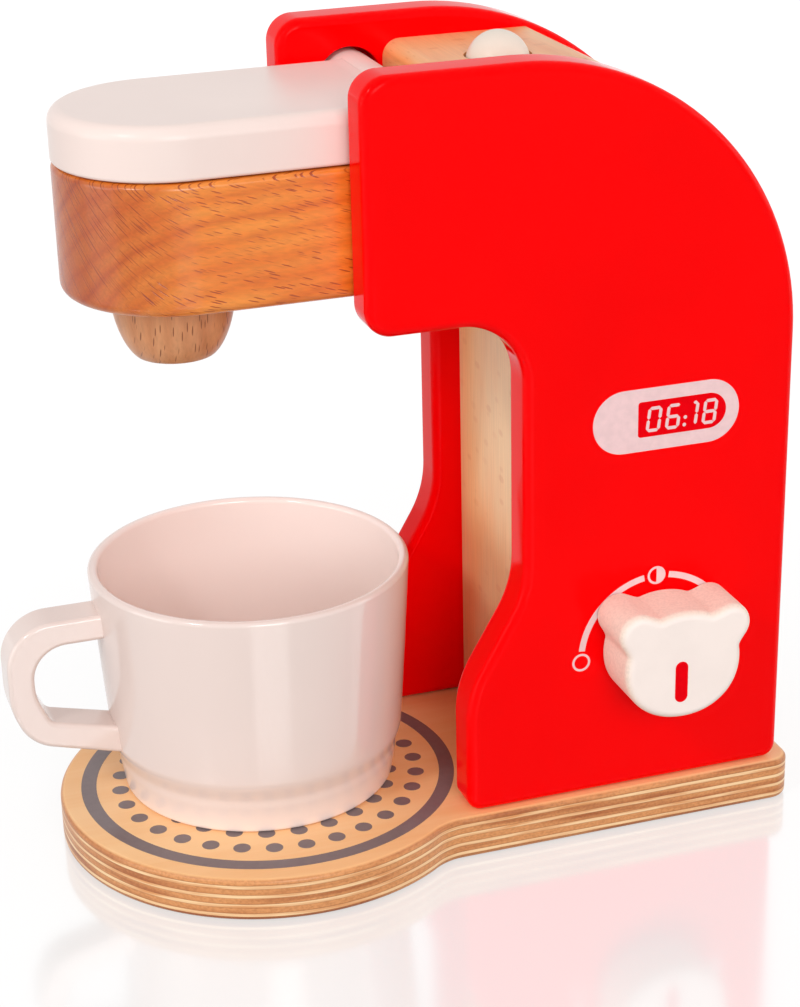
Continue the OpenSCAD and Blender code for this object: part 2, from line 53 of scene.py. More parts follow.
# all in mm
slack = 0.01  # how near a point counts as on a level
near = 0.05  # how near it counts as on a bore's rim, or as at a cut end
past = 1  # how far a cutter runs past the face it opens
film, sink = 0.05, 0.02  # a print's thickness, and how deep it sits in its face
hair = 0.01  # what keeps two round corners from meeting in one point


# tools for reading the frame
def boxOf(node):
    low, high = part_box(node)
    return low / mm, high / mm


def rodOf(node):  # where the axis of a bar across the toy lies, and the bar's radius
    low, high = boxOf(node)
    return (low.y + high.y) / 2, (low.z + high.z) / 2, (high.z - low.z) / 2


def depthOf(node):  # how far back a node's middle lies
    low, high = boxOf(node)
    return (low.y + high.y) / 2


# tools for modelling
planes = {  # across, up and out of the sheet that an outline is drawn on
    "plan": (Vector((1, 0, 0)), Vector((0, 1, 0)), Vector((0, 0, 1))),
    "side": (Vector((0, 1, 0)), Vector((0, 0, 1)), Vector((1, 0, 0))),
    "front": (Vector((1, 0, 0)), Vector((0, 0, 1)), Vector((0, -1, 0))),
}


def selectOnly(piece):
    bpy.ops.object.select_all(action="DESELECT")
    piece.select_set(True)
    bpy.context.view_layer.objects.active = piece


def startEdit():
    bpy.ops.object.mode_set(mode="EDIT")
    bpy.ops.mesh.select_mode(type="VERT")


def endEdit():
    bpy.ops.object.mode_set(mode="OBJECT")
    return bpy.context.active_object


def selectAll():
    bpy.ops.mesh.select_all(action="SELECT")


def weld(reach=1e-7):  # joins points nearer to each other than this, in metres
    selectAll()
    bpy.ops.mesh.remove_doubles(threshold=reach)


def turnOutward():
    selectAll()
    bpy.ops.mesh.normals_make_consistent(inside=False)


def nameActive(name):
    piece = bpy.context.active_object
    piece.name = piece.data.name = name
    return piece


def pick(kind, test):  # selects the vertices or edges that pass the test
    bpy.ops.mesh.select_mode(type=kind)
    bpy.ops.mesh.select_all(action="DESELECT")
    mesh = bpy.context.edit_object.data
    parts = bmesh.from_edit_mesh(mesh)
    for part in parts.verts if kind == "VERT" else parts.edges:
        if test(part):
            part.select_set(True)
    bmesh.update_edit_mesh(mesh)


def onLevel(axis, level):  # a test for edges that lie at one level of x, y or z
    return lambda edge: all(abs(getattr(v.co, axis) / mm - level) < slack for v in edge.verts)


def roundPicked(width, segments):
    bpy.ops.mesh.bevel(offset=width * mm, segments=segments, profile=0.5, affect="EDGES", clamp_overlap=False)


def roundLevels(axis, levels, width, segments):
    for level in levels:
        pick("EDGE", onLevel(axis, level))
        roundPicked(width, segments)


def roundedCorners(corners, degreesPerStep):  # corners are (across, up, radius); gives the moves of the pen
    moves = []
    for i, (x, y, r) in enumerate(corners):
        at = Vector((x, y))
        before = Vector(corners[i - 1][:2])
        after = Vector(corners[(i + 1) % len(corners)][:2])
        inward, outward = (at - before).normalized(), (after - at).normalized()
        bend = degrees(atan2(inward.x * outward.y - inward.y * outward.x, inward.dot(outward)))
        if r == 0:
            moves.append(tuple(at))
            continue
        start = at - inward * r * tan(radians(abs(bend)) / 2)
        side = Vector((-inward.y, inward.x)) * (1 if bend > 0 else -1)
        centre = start + side * r
        moves += [tuple(start), ("arc", tuple(centre), bend, max(3, ceil(abs(bend) / degreesPerStep)))]
    return moves


def drawOutline(name, moves, plane, level, closed=True):  # a move is a point, or an arc's centre, turn and steps
    across, up, out = planes[plane]

    def place(point):
        return (across * point[0] + up * point[1] + out * level) * mm

    bpy.ops.mesh.primitive_plane_add(size=mm)
    nameActive(name)
    startEdit()
    bpy.ops.mesh.merge(type="CENTER")
    bpy.ops.transform.translate(value=place(moves[0]))
    pen = Vector(moves[0])
    for move in moves[1:] + ([moves[0]] if closed else []):
        if move[0] == "arc":
            centre, turn, steps = Vector(move[1]), move[2], move[3]
            bpy.ops.mesh.spin(steps=steps, angle=-radians(turn), center=place(centre), axis=out)
            spoke = pen - centre
            c, s = cos(radians(turn)), sin(radians(turn))
            pen = centre + Vector((spoke.x * c - spoke.y * s, spoke.x * s + spoke.y * c))
        elif (Vector(move) - pen).length > 1e-4:
            bpy.ops.mesh.extrude_region_move(TRANSFORM_OT_translate={"value": place(move) - place(pen)})
            pen = Vector(move)
    weld()


def sawPlate(name, moves, plane, low, high):  # an outline filled and given its thickness; leaves edit mode on
    drawOutline(name, moves, plane, low)
    bpy.ops.mesh.edge_face_add()
    out = planes[plane][2]
    bpy.ops.mesh.extrude_region_move(TRANSFORM_OT_translate={"value": out * (high - low) * mm})
    turnOutward()


def turnOnLathe(name, profile, centre, steps=96):  # a profile of (radius, height) spun round a vertical axis
    moves = [(centre[0] + p[0], p[1]) if p[0] != "arc" else ("arc", (centre[0] + p[1][0], p[1][1]), p[2], p[3])
             for p in profile]
    drawOutline(name, moves, "front", -centre[1], closed=False)
    bpy.ops.mesh.spin(steps=steps, angle=2 * pi, center=(centre[0] * mm, centre[1] * mm, 0), axis=(0, 0, 1))
    weld(2e-6)
    turnOutward()
    return endEdit()


def addRod(name, radius, start, end, vertices=96):  # a plain round bar between two points
    start, end = Vector(start), Vector(end)
    bpy.ops.mesh.primitive_cylinder_add(
        vertices=vertices, radius=radius * mm, depth=(end - start).length * mm, location=(start + end) / 2 * mm,
        rotation=(end - start).to_track_quat("Z", "Y").to_euler())
    rod = nameActive(name)
    bpy.ops.object.transform_apply()
    return rod


def addCrossRod(name, radius, y, z, left, right, vertices=96):
    return addRod(name, radius, (left, y, z), (right, y, z), vertices)


def addUpright(name, radius, y, bottom, top, vertices=96):  # on the toy's middle plane
    return addRod(name, radius, (0, y, bottom), (0, y, top), vertices)


def cutAway(piece, *cutters):
    for cutter in cutters:
        selectOnly(piece)
        bpy.ops.object.modifier_add(type="BOOLEAN")
        cut = piece.modifiers[-1]
        cut.operation = "DIFFERENCE"
        cut.solver = "EXACT"
        cut.object = cutter
        bpy.ops.object.modifier_apply(modifier=cut.name)
        bpy.data.objects.remove(cutter)
    return piece


def joinPieces(name, pieces):
    selectOnly(pieces[0])
    for piece in pieces[1:]:
        piece.select_set(True)
    bpy.ops.object.join()
    return nameActive(name)


def finishPiece(piece, body, slot, material, *stoodFor, angle=35):
    selectOnly(piece)
    bpy.ops.object.shade_smooth_by_angle(angle=radians(angle))
    bpy.ops.object.modifier_add(type="WEIGHTED_NORMAL")
    piece.modifiers[-1].keep_sharp = True
    bpy.ops.object.modifier_apply(modifier=piece.modifiers[-1].name)
    piece.data.materials.clear()
    piece.data.materials.append(material)
    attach(piece, body)
    if stoodFor:
        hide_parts(*stoodFor)
    print("finished", piece.name, len(piece.data.polygons), "faces")


# tools for materials
black, white = (0, 0, 0, 1), (1, 1, 1, 1)


def rgb(r, g, b):  # a colour as a picture shows it, turned into Blender's linear values
    return tuple((c / 255 / 12.92) if c <= 10.3 else ((c / 255 + 0.055) / 1.055) ** 2.4 for c in (r, g, b)) + (1.0,)


def dimmed(colour, share):
    return tuple(c * share for c in colour[:3]) + (1.0,)


def startMaterial(name, roughness=0.5, gloss=0.5, **shader):
    material = bpy.data.materials.new(name)
    material.use_nodes = True
    surface = material.node_tree.nodes["Principled BSDF"]
    for socket, value in {"Roughness": roughness, "Specular IOR Level": gloss, **shader}.items():
        surface.inputs[socket].default_value = value
    return material, material.node_tree, surface


def addNode(tree, kind, inputs=None, **settings):
    node = tree.nodes.new("ShaderNode" + kind)
    for key, value in settings.items():
        setattr(node, key, value)
    for key, value in (inputs or {}).items():
        if isinstance(value, bpy.types.NodeSocket):
            tree.links.new(value, node.inputs[key])
        else:
            node.inputs[key].default_value = value
    return node


def reckon(tree, operation, *values):
    return addNode(tree, "Math", dict(enumerate(values)), operation=operation).outputs[0]


def reckonVector(tree, operation, *values, result="Vector"):
    return addNode(tree, "VectorMath", dict(enumerate(values)), operation=operation).outputs[result]


def placeOn(tree):
    return addNode(tree, "TexCoord").outputs["Object"]


def partOf(tree, vector, axis):
    return addNode(tree, "SeparateXYZ", {"Vector": vector}).outputs[axis]


def ramp(tree, factor, stops):  # stops are (place, colour)
    node = addNode(tree, "ValToRGB", {"Fac": factor})
    elements = node.color_ramp.elements
    while len(elements) < len(stops):
        elements.new(0.5)
    for element, (place, colour) in zip(elements, stops):
        element.position = place
        element.color = colour
    return node.outputs["Color"]


def mixColours(tree, factor, a, b, blend="MIX"):
    node = addNode(tree, "Mix", {0: factor, 6: a, 7: b}, data_type="RGBA", blend_type=blend)
    return node.outputs[2]


def paint(tree, surface, colour):
    tree.links.new(colour, surface.inputs["Base Color"])


def addBump(tree, surface, height, distance, strength=1.0):
    bump = addNode(tree, "Bump", {"Height": height, "Distance": distance * mm, "Strength": strength})
    tree.links.new(bump.outputs["Normal"], surface.inputs["Normal"])


def noise(tree, place, scale, detail, swirl=0.0):
    node = addNode(tree, "TexNoise", {"Vector": place, "Scale": scale, "Detail": detail, "Distortion": swirl})
    return node.outputs["Fac"]


def stretched(tree, place, scale, detail, swirl=0.0):  # noise with its own waves per metre along each axis
    mapped = addNode(tree, "Mapping", {"Vector": place, "Scale": scale}).outputs["Vector"]
    return noise(tree, mapped, 1.0, detail, swirl)


# lacquers
lacquerLook = {"cloudScale": 22, "cloudDip": 0.95, "peelScale": 240}


def lacquer(name, colour, roughness, gloss, peel, look=lacquerLook):
    material, tree, surface = startMaterial(name, roughness, gloss)
    place = placeOn(tree)
    cloud = noise(tree, place, look["cloudScale"], 3)
    paint(tree, surface, ramp(tree, cloud, [(0.3, dimmed(colour, look["cloudDip"])), (0.7, colour)]))
    addBump(tree, surface, noise(tree, place, look["peelScale"], 2), peel)
    return material


redLacquer = lacquer("red gloss lacquer", rgb(255, 0, 2), roughness=0.05, gloss=0.045, peel=0.006)
creamLacquer = lacquer("cream satin lacquer", rgb(244, 224, 216), roughness=0.28, gloss=0.25, peel=0.012)
# the button takes the lid's cream lacquer painted darker: painted shade for its domed top, which catches light from
# every lamp
buttonShadedLacquer = lacquer("cream lacquer with painted shade", rgb(233, 219, 205), roughness=0.3, gloss=0.25, peel=0.012)

knobLook = {
    "face": rgb(251, 236, 228), "side": rgb(243, 224, 208), "roughness": 0.55, "gloss": 0.3,
    "faceFrom": 0.6, "faceTo": 0.97,  # the share of the normal where the face's finish starts, and where it is full
    "grainScale": 1400, "grainDip": 0.9, "grainDepth": 0.06, "cloudScale": 90, "cloudDip": 0.96}


def knobMaterial(look):  # the sawn side is grainier than the face, and its colour is painted darker than the face: painted shade
    material, tree, surface = startMaterial("cream matte knob lacquer with shaded sides", look["roughness"], look["gloss"])
    coordinates = addNode(tree, "TexCoord").outputs
    across = reckon(tree, "ABSOLUTE", partOf(tree, coordinates["Normal"], "X"))
    onFace = ramp(tree, across, [(look["faceFrom"], black), (look["faceTo"], white)])
    grain = noise(tree, coordinates["Object"], look["grainScale"], 3)
    # the side colour, darker than the face, is painted shade for the knob's edges; the grain dims it further in streaks
    side = ramp(tree, grain, [(0.35, dimmed(look["side"], look["grainDip"])), (0.6, look["side"])])
    cloud = noise(tree, coordinates["Object"], look["cloudScale"], 3)
    face = ramp(tree, cloud, [(0.3, dimmed(look["face"], look["cloudDip"])), (0.6, look["face"])])
    paint(tree, surface, mixColours(tree, onFace, side, face))
    addBump(tree, surface, grain, look["grainDepth"], 0.6)
    return material


knobLacquer = knobMaterial(knobLook)

cupLook = {
    # the inside colour is painted light: lighter and warmer than the outside, standing in for the light bounced inside
    # the cup
    "outside": rgb(235, 215, 207), "inside": rgb(254, 236, 229), "roughness": 0.13, "gloss": 0.6,
    "lean": 0.0707,  # how much the wall leans out for each unit of height
    "wallFrom": 35.2, "wallTo": 36.0,  # the radius in the wall, at height 0, where the colour changes
    "cloudScale": 26, "cloudDip": 0.97, "peelScale": 160, "peel": 0.012}


def cupMaterial(look):  # glossier than the lid, with the inside of the wall painted a lighter, warmer cream: painted light for the warm light bounced inside the cup
    material, tree, surface = startMaterial("cream cup lacquer", look["roughness"], look["gloss"])
    low, high = boxOf("cup")
    middle = ((low + high) / 2 * mm).to_2d().to_3d()
    place = placeOn(tree)
    flat = reckonVector(tree, "MULTIPLY", reckonVector(tree, "SUBTRACT", place, middle), (1, 1, 0))
    radius = reckonVector(tree, "LENGTH", flat, result="Value")
    beyond = reckon(tree, "MULTIPLY_ADD", partOf(tree, place, "Z"), -look["lean"], radius)
    share = addNode(tree, "MapRange", {
        "Value": beyond, "From Min": look["wallFrom"] * mm, "From Max": look["wallTo"] * mm}).outputs["Result"]
    cloud = noise(tree, place, look["cloudScale"], 3)
    skin = ramp(tree, cloud, [(0.3, dimmed(look["outside"], look["cloudDip"])), (0.7, look["outside"])])
    paint(tree, surface, mixColours(tree, share, look["inside"], skin))
    addBump(tree, surface, noise(tree, place, look["peelScale"], 2), look["peel"])
    return material


cupLacquer = cupMaterial(cupLook)

# woods; a scale is in waves per metre: outwards from the pith, along the grain, round the rings
beechLook = {
    "pith": (90, 0, 80), "turn": (19, 131.3, 18.9), "ringGap": 4.5, "waver": 2.6, "waverScale": (30, 9, 30),
    "roughness": 0.24, "gloss": 0.5, "relief": 0.04,
    "dark": rgb(222, 112, 32), "middle": rgb(240, 134, 42), "light": rgb(245, 146, 54),
    "blotch": rgb(226, 104, 22), "blotches": 0.5, "blotchScale": (55, 22, 110),
    "fibre": 0.83, "fibreScale": (1500, 130, 1500),
    "fleck": rgb(166, 66, 12), "fleckScale": (30, 200, 3000), "fleckSize": 0.33, "fleckStrength": 1.9,
    "endGrain": (0.58, 0.4, 0.36, 1)}
turnedLook = dict(
    beechLook, turn=(90, 0, 0), pith=(30, 20, 0), dark=rgb(206, 136, 88), middle=rgb(214, 146, 98),
    light=rgb(220, 154, 106), blotch=rgb(198, 122, 74), blotches=0.4, fleck=rgb(136, 78, 42),
    fleckScale=(70, 190, 1900), fleckSize=0.3, fleckStrength=1.7, fibre=0.88, fibreScale=(1500, 60, 1500),
    endGrain=(0.9, 0.85, 0.8, 1), roughness=0.34, gloss=0.4)
paleLook = dict(
    turnedLook, turn=(0, 0, 90), pith=(0, 60, 100), ringGap=4, waver=1.6, dark=rgb(234, 150, 90),
    middle=rgb(242, 168, 108), light=rgb(247, 184, 128), blotch=rgb(236, 142, 74), blotches=0.6,
    fleck=rgb(205, 124, 66), fleckScale=(120, 220, 1800), fleckSize=0.28, fleckStrength=0.8, fibre=0.9)
# the boards take the pale wood in lighter colours: painted light for the front board, which lies in shade under the arm
boardLitLook = dict(
    paleLook, turn=(90, 0, 0), pith=(12, -60, 0), ringGap=9, dark=rgb(252, 196, 134),
    middle=rgb(255, 208, 150), light=rgb(255, 218, 168), blotch=rgb(252, 184, 118), fleckStrength=0.25)


def woodGrain(name, look):  # rings round a pith, fibres along it and ray flecks across it
    material, tree, surface = startMaterial(name, look["roughness"], look["gloss"])
    turn = Euler([radians(a) for a in look["turn"]])
    pith = turn.to_matrix() @ (Vector(look["pith"]) * mm)
    place = addNode(tree, "Mapping", {"Vector": placeOn(tree), "Location": -pith, "Rotation": turn}).outputs["Vector"]

    across = reckonVector(tree, "MULTIPLY", place, (1, 0, 1))
    radius = reckonVector(tree, "LENGTH", across, result="Value")
    waver = reckon(tree, "MULTIPLY", stretched(tree, place, look["waverScale"], 2), look["waver"])
    count = reckon(tree, "MULTIPLY_ADD", radius, 1 / (look["ringGap"] * mm), waver)
    ring = reckon(tree, "PINGPONG", count, 0.5)
    uneven = addNode(tree, "TexNoise", {"W": count, "Scale": 0.8, "Detail": 2.0}, noise_dimensions="1D").outputs["Fac"]
    wood = ramp(tree, reckon(tree, "MULTIPLY", ring, uneven), [
        (0.04, look["light"]), (0.17, look["middle"]), (0.32, look["dark"])])

    blotch = ramp(tree, stretched(tree, place, look["blotchScale"], 3), [(0.45, black), (0.75, white)])
    wood = mixColours(tree, reckon(tree, "MULTIPLY", blotch, look["blotches"]), wood, look["blotch"])
    fibres = stretched(tree, place, look["fibreScale"], 3)
    fibreShade = ramp(tree, fibres, [(0.3, dimmed(white, look["fibre"])), (0.65, white)])
    wood = mixColours(tree, 1.0, wood, fibreShade, "MULTIPLY")

    mapped = addNode(tree, "Mapping", {"Vector": place, "Scale": look["fleckScale"]}).outputs["Vector"]
    cells = addNode(tree, "TexVoronoi", {"Vector": mapped, "Scale": 1.0})
    flecks = ramp(tree, cells.outputs["Distance"], [(look["fleckSize"] * 0.6, white), (look["fleckSize"], black)])
    chance = partOf(tree, cells.outputs["Color"], "X")  # some cells show a strong fleck and some hardly one
    share = reckon(tree, "MULTIPLY", flecks, reckon(tree, "MULTIPLY", chance, look["fleckStrength"]))
    wood = mixColours(tree, share, wood, look["fleck"])

    normal = addNode(tree, "TexCoord").outputs["Normal"]
    facing = reckonVector(tree, "DOT_PRODUCT", normal, turn.to_matrix().row[1], result="Value")
    endGrain = ramp(tree, reckon(tree, "ABSOLUTE", facing), [(0.2, white), (0.95, look["endGrain"])])
    paint(tree, surface, mixColours(tree, 1.0, wood, endGrain, "MULTIPLY"))
    addBump(tree, surface, reckon(tree, "SUBTRACT", fibres, share), look["relief"], 0.5)
    return material


beech = woodGrain("beech arm", beechLook)
turnedBeech = woodGrain("turned beech", turnedLook)
paleWood = woodGrain("pale wood", paleLook)
boardLitWood = woodGrain("pale wood with painted light", boardLitLook)

plyLook = {
    "pairs": 4.5, "roughness": 0.36, "gloss": 0.4, "relief": 0.03,
    "face": rgb(248, 200, 146), "faceDark": rgb(241, 182, 122), "grainScale": (520, 24, 30), "figureScale": (50, 12, 9),
    "tan": rgb(222, 153, 96), "brown": rgb(172, 97, 50), "cream": rgb(252, 214, 164), "glue": rgb(146, 82, 42),
    "wave": 0.45, "waveScale": (30, 30, 120), "patchScale": (28, 28, 420), "streakScale": (60, 60, 900),
    "speckle": (0.8, 0.76, 0.72, 1), "speckleScale": (1100, 1100, 1700), "seam": 0.45}


def plywoodMaterial(look):  # the plies are counted up from the underside: a tan one, a cream one, and so on
    material, tree, surface = startMaterial("birch plywood", look["roughness"], look["gloss"])
    thickness = boxOf("base_board")[1].z * mm
    place = placeOn(tree)
    waves = stretched(tree, place, look["waveScale"], 2)
    waved = reckon(tree, "MULTIPLY_ADD", waves, look["wave"] * mm, partOf(tree, place, "Z"))
    within = reckon(tree, "FRACT", reckon(tree, "MULTIPLY", waved, look["pairs"] / thickness))

    patches = ramp(tree, stretched(tree, place, look["patchScale"], 3), [(0.42, black), (0.68, white)])
    speckle = ramp(tree, stretched(tree, place, look["speckleScale"], 2), [(0.3, look["speckle"]), (0.6, white)])
    tan = mixColours(tree, 1.0, mixColours(tree, patches, look["tan"], look["brown"]), speckle, "MULTIPLY")
    isCream = ramp(tree, within, [(0.59, black), (0.63, white), (0.93, white), (0.97, black)])
    streaks = stretched(tree, place, look["streakScale"], 2)
    edge = mixColours(tree, isCream, tan, ramp(tree, streaks, [(0.4, look["cream"]), (0.7, look["tan"])]))
    seam = ramp(tree, within, [
        (0.0, white), (0.05, black), (0.55, black), (0.6, white), (0.66, black), (0.92, black), (0.97, white)])
    edge = mixColours(tree, reckon(tree, "MULTIPLY", seam, look["seam"]), edge, look["glue"])

    grain = stretched(tree, place, look["grainScale"], 3, 0.6)
    figure = stretched(tree, place, look["figureScale"], 2)
    face = ramp(tree, reckon(tree, "MULTIPLY_ADD", grain, 0.4, figure), [(0.45, look["faceDark"]), (0.9, look["face"])])
    facing = partOf(tree, addNode(tree, "NewGeometry").outputs["Normal"], "Z")
    onFace = ramp(tree, reckon(tree, "ABSOLUTE", facing), [(0.7, black), (0.95, white)])
    paint(tree, surface, mixColours(tree, onFace, edge, face))
    addBump(tree, surface, mixColours(tree, onFace, speckle, grain), look["relief"], 0.4)
    return material


plywood = plywoodMaterial(plyLook)


# inks and small parts
def ink(name, colour, gloss):
    material, tree, surface = startMaterial(name, roughness=0.2, gloss=gloss)
    wear = noise(tree, placeOn(tree), 500, 3)
    paint(tree, surface, ramp(tree, wear, [(0.35, dimmed(colour, 0.93)), (0.65, colour)]))
    return material


darkInk = ink("grey print", rgb(122, 107, 108), gloss=0.35)
paleInk = ink("pale print", rgb(243, 206, 206), gloss=0.2)
redInk = ink("red print", rgb(240, 0, 14), gloss=0.03)

zincLook = {"dull": rgb(176, 178, 182), "bright": rgb(206, 208, 212), "scratchScale": (300, 2500, 2500),
            "smoothest": 0.25, "roughest": 0.45}


def zincMaterial(look):
    material, tree, surface = startMaterial("zinc plated steel", Metallic=1.0)
    scratches = stretched(tree, placeOn(tree), look["scratchScale"], 3)
    paint(tree, surface, ramp(tree, scratches, [(0.3, look["dull"]), (0.7, look["bright"])]))
    rough = addNode(tree, "MapRange", {
        "Value": scratches, "To Min": look["smoothest"], "To Max": look["roughest"]}).outputs["Result"]
    tree.links.new(rough, surface.inputs["Roughness"])
    return material


zinc = zincMaterial(zincLook)


def rubberMaterial():
    material, tree, surface = startMaterial("black rubber", roughness=0.7)
    speckle = noise(tree, placeOn(tree), 1500, 3)
    paint(tree, surface, ramp(tree, speckle, [(0.3, rgb(28, 28, 28)), (0.7, rgb(46, 46, 46))]))
    addBump(tree, surface, speckle, 0.02)
    return material


rubber = rubberMaterial()
print("materials mixed")

# plywood base
baseSizes = {"lobeRadius": 56, "neckRadius": 14, "cornerRadius": 6, "lip": 2, "edge": 1.4,
             "lobeSteps": 140, "cornerSteps": 12,
             "screwSpots": ((34.6, 59.2), (34.6, 118.0), (11.44, 71.3), (11.44, 113.5)),  # the same on both sides
             "screwHead": 3.45, "screwHeadDeep": 2.05, "screwShank": 1.65}


def screwHole(sizes, x, y):  # a shank's hole with the cone that its countersunk head fills
    head, deep, shank = sizes["screwHead"], sizes["screwHeadDeep"], sizes["screwShank"]
    slope = (head - shank) / deep
    through = boxOf("base_board")[1].z + past
    profile = [(0, -past), (head + slope * past, -past), (shank, deep), (shank, through), (0, through)]
    return turnOnLathe("screwHole", profile, (x, y), steps=32)


def sawBase(sizes):
    low, high = boxOf("base_board")
    half = boxOf("side_panel_right")[1].x + sizes["lip"]
    lobe, neck, corner = sizes["lobeRadius"], sizes["neckRadius"], sizes["cornerRadius"]
    steps = sizes["cornerSteps"]
    neckX = half + neck
    neckY = sqrt((lobe + neck) ** 2 - neckX ** 2)
    neckTurn = degrees(atan2(neckY, neckX))
    rear = high.y
    c, s = cos(radians(neckTurn)), sin(radians(neckTurn))
    moves = [
        (-lobe * c, lobe * s),
        ("arc", (0, 0), 180 + 2 * neckTurn, sizes["lobeSteps"]), ("arc", (neckX, neckY), -neckTurn, steps),
        (half, rear - corner), ("arc", (half - corner, rear - corner), 90, steps),
        (corner - half, rear), ("arc", (corner - half, rear - corner), 90, steps),
        (-half, neckY), ("arc", (-neckX, neckY), -neckTurn, steps)]
    sawPlate("base_plywood", moves, "plan", low.z, high.z)
    roundLevels("z", (low.z, high.z), sizes["edge"], segments=4)
    board = endEdit()
    for x, y in sizes["screwSpots"]:
        for side in (-1, 1):
            cutAway(board, screwHole(sizes, side * x, y))
    return board


finishPiece(sawBase(baseSizes), "frame", "plywood", plywood, "base_board")

# printed ring and dots on the base
printSizes = {
    "ringOut": 50.4, "ringIn": 46.35, "dot": 2.25, "firstTurn": -1.5,
    "dotRings": ((40.0, 30), (32.5, 24), (25.0, 18), (17.5, 12), (10.0, 6))}  # each a radius and a count


def printTray(sizes):
    top = boxOf("base_board")[1].z
    low, high = top - sink, top + film
    ring = addUpright("base_print", sizes["ringOut"], 0, low, high, vertices=144)
    cutAway(ring, addUpright("hole", sizes["ringIn"], 0, low - past, high + past, vertices=144))
    pieces = [ring]
    turn = radians(sizes["firstTurn"])
    for radius, count in sizes["dotRings"]:  # one dot, copied round the ring
        x, y = radius * cos(turn), radius * sin(turn)
        pieces.append(addRod("dot", sizes["dot"], (x, y, low), (x, y, high), vertices=32))
        startEdit()
        selectAll()
        bpy.ops.mesh.spin(
            steps=count - 1, dupli=True, angle=2 * pi * (count - 1) / count, center=(0, 0, 0), axis=(0, 0, 1))
        endEdit()
    return joinPieces("base_print", pieces)


finishPiece(printTray(printSizes), "frame", "plywood", darkInk)

# red side panels
panelSizes = {
    "columnFront": 59.2, "footFront": 43.4, "footTop": 45.6, "leanTop": 72.3, "armLow": 145.0,
    "backRadius": 74, "armCorner": 6.8, "notch": 16, "footBend": 30, "corner": 4, "edge": 2.5,
    "barRoom": 1.1, "barDepth": 8, "boreEdge": 0.4, "axleRoom": 0.15}


def sawPanel(name, node, sizes):
    low, high = boxOf(node)
    corners = [
        (sizes["footFront"], low.z, sizes["corner"]), (high.y, low.z, sizes["corner"]),
        (high.y, high.z, sizes["backRadius"]), (low.y, high.z, sizes["armCorner"]),
        (low.y, sizes["armLow"], sizes["armCorner"]), (sizes["columnFront"], sizes["armLow"], sizes["notch"]),
        (sizes["columnFront"], sizes["leanTop"], sizes["footBend"]),
        (sizes["footFront"], sizes["footTop"], sizes["footBend"])]
    sawPlate(name, roundedCorners(corners, 2.5), "side", low.x, high.x)
    roundLevels("x", (low.x, high.x), sizes["edge"], segments=6)
    panel = endEdit()
    barY, barZ, barRadius = rodOf("hinge_bar")
    side, inner = (1, low.x) if low.x > 0 else (-1, high.x)
    boreRadius = barRadius + sizes["barRoom"]
    cutAway(panel, addCrossRod("bore", boreRadius, barY, barZ, inner - side * past, inner + side * sizes["barDepth"]))
    startEdit()
    reach = (boreRadius + near) * mm
    pick("EDGE", lambda edge: onLevel("x", inner)(edge) and all(
        (v.co - Vector((inner, barY, barZ)) * mm).length < reach for v in edge.verts))
    roundPicked(sizes["boreEdge"], segments=3)
    endEdit()
    if side > 0:
        axleY, axleZ, axleRadius = rodOf("knob_axle")
        cutAway(panel, addCrossRod("hole", axleRadius + sizes["axleRoom"], axleY, axleZ, low.x - past, high.x + past))
    return panel


for name, node in (("panel_red_right", "side_panel_right"), ("panel_red_left", "side_panel_left")):
    finishPiece(sawPanel(name, node, panelSizes), "frame", "red_lacquer", redLacquer, node)


# boards with a round nose: the beech arm and the lid
def noseMoves(half, front, rear, flat=0.05):  # flat is half of the straight run at the nose's middle
    r = half - flat
    return roundedCorners([(-half, front, r), (half, front, r), (half, rear, 0), (-half, rear, 0)], 2.5)


armSizes = {"edgeLow": 3, "edgeHigh": 1.5, "recessRadius": 17, "recessDepth": 18, "coveGap": 0.5,
            "tenonRadius": 7.05, "tenonDepth": 8.2, "pressRoom": 1, "pressDepth": 9.5,
            "slopeStart": 86, "slopeMid": 104, "slope": 28, "steep": 54}


def slopePlanes(sizes):  # the two sloping cuts behind the button, each as a point and a normal
    top = boxOf("top_block")[1].z
    midZ = top - (sizes["slopeMid"] - sizes["slopeStart"]) * tan(radians(sizes["slope"]))
    return [(Vector((0, y, z)) * mm, Vector((0, sin(radians(turn)), cos(radians(turn)))))
            for y, z, turn in ((sizes["slopeStart"], top, sizes["slope"]), (sizes["slopeMid"], midZ, sizes["steep"]))]


def cutSlopes(cuts):
    for point, normal in cuts:
        selectAll()
        bpy.ops.mesh.bisect(plane_co=point, plane_no=normal, use_fill=True, clear_outer=True)


def sawArm(sizes):
    low, high = boxOf("arm_block")
    sawPlate("arm_beech", noseMoves(high.x, low.y, high.y), "plan", low.z, high.z)
    roundLevels("z", [low.z], sizes["edgeLow"], segments=6)
    roundLevels("z", [high.z], sizes["edgeHigh"], segments=4)
    cutSlopes(slopePlanes(sizes)[1:])
    arm = endEdit()
    barY, barZ, barRadius = rodOf("hinge_bar")
    spoutY, buttonY = depthOf("nozzle"), depthOf("button_dome")
    washerLow, washerHigh = boxOf("button_washer")
    pressRadius = (washerHigh.x - washerLow.x) / 2 + sizes["pressRoom"]
    return cutAway(
        arm,
        addCrossRod("cove", barRadius + sizes["coveGap"], barY, barZ, low.x - past, high.x + past),
        addUpright("recess", sizes["recessRadius"], spoutY, high.z - sizes["recessDepth"], high.z + past),
        addUpright("tenonHole", sizes["tenonRadius"], spoutY, low.z - past, low.z + sizes["tenonDepth"]),
        addUpright("pressRoom", pressRadius, buttonY, high.z - sizes["pressDepth"], high.z + past))


finishPiece(sawArm(armSizes), "frame", "beech", beech, "arm_block")

lidSizes = {"edgeLow": 1, "edgeHigh": 3.5, "blendFrom": 31.0, "blendTo": 36.5, "blendRise": 0.68, "blendRows": 6,
            "barOverlap": 0.02}


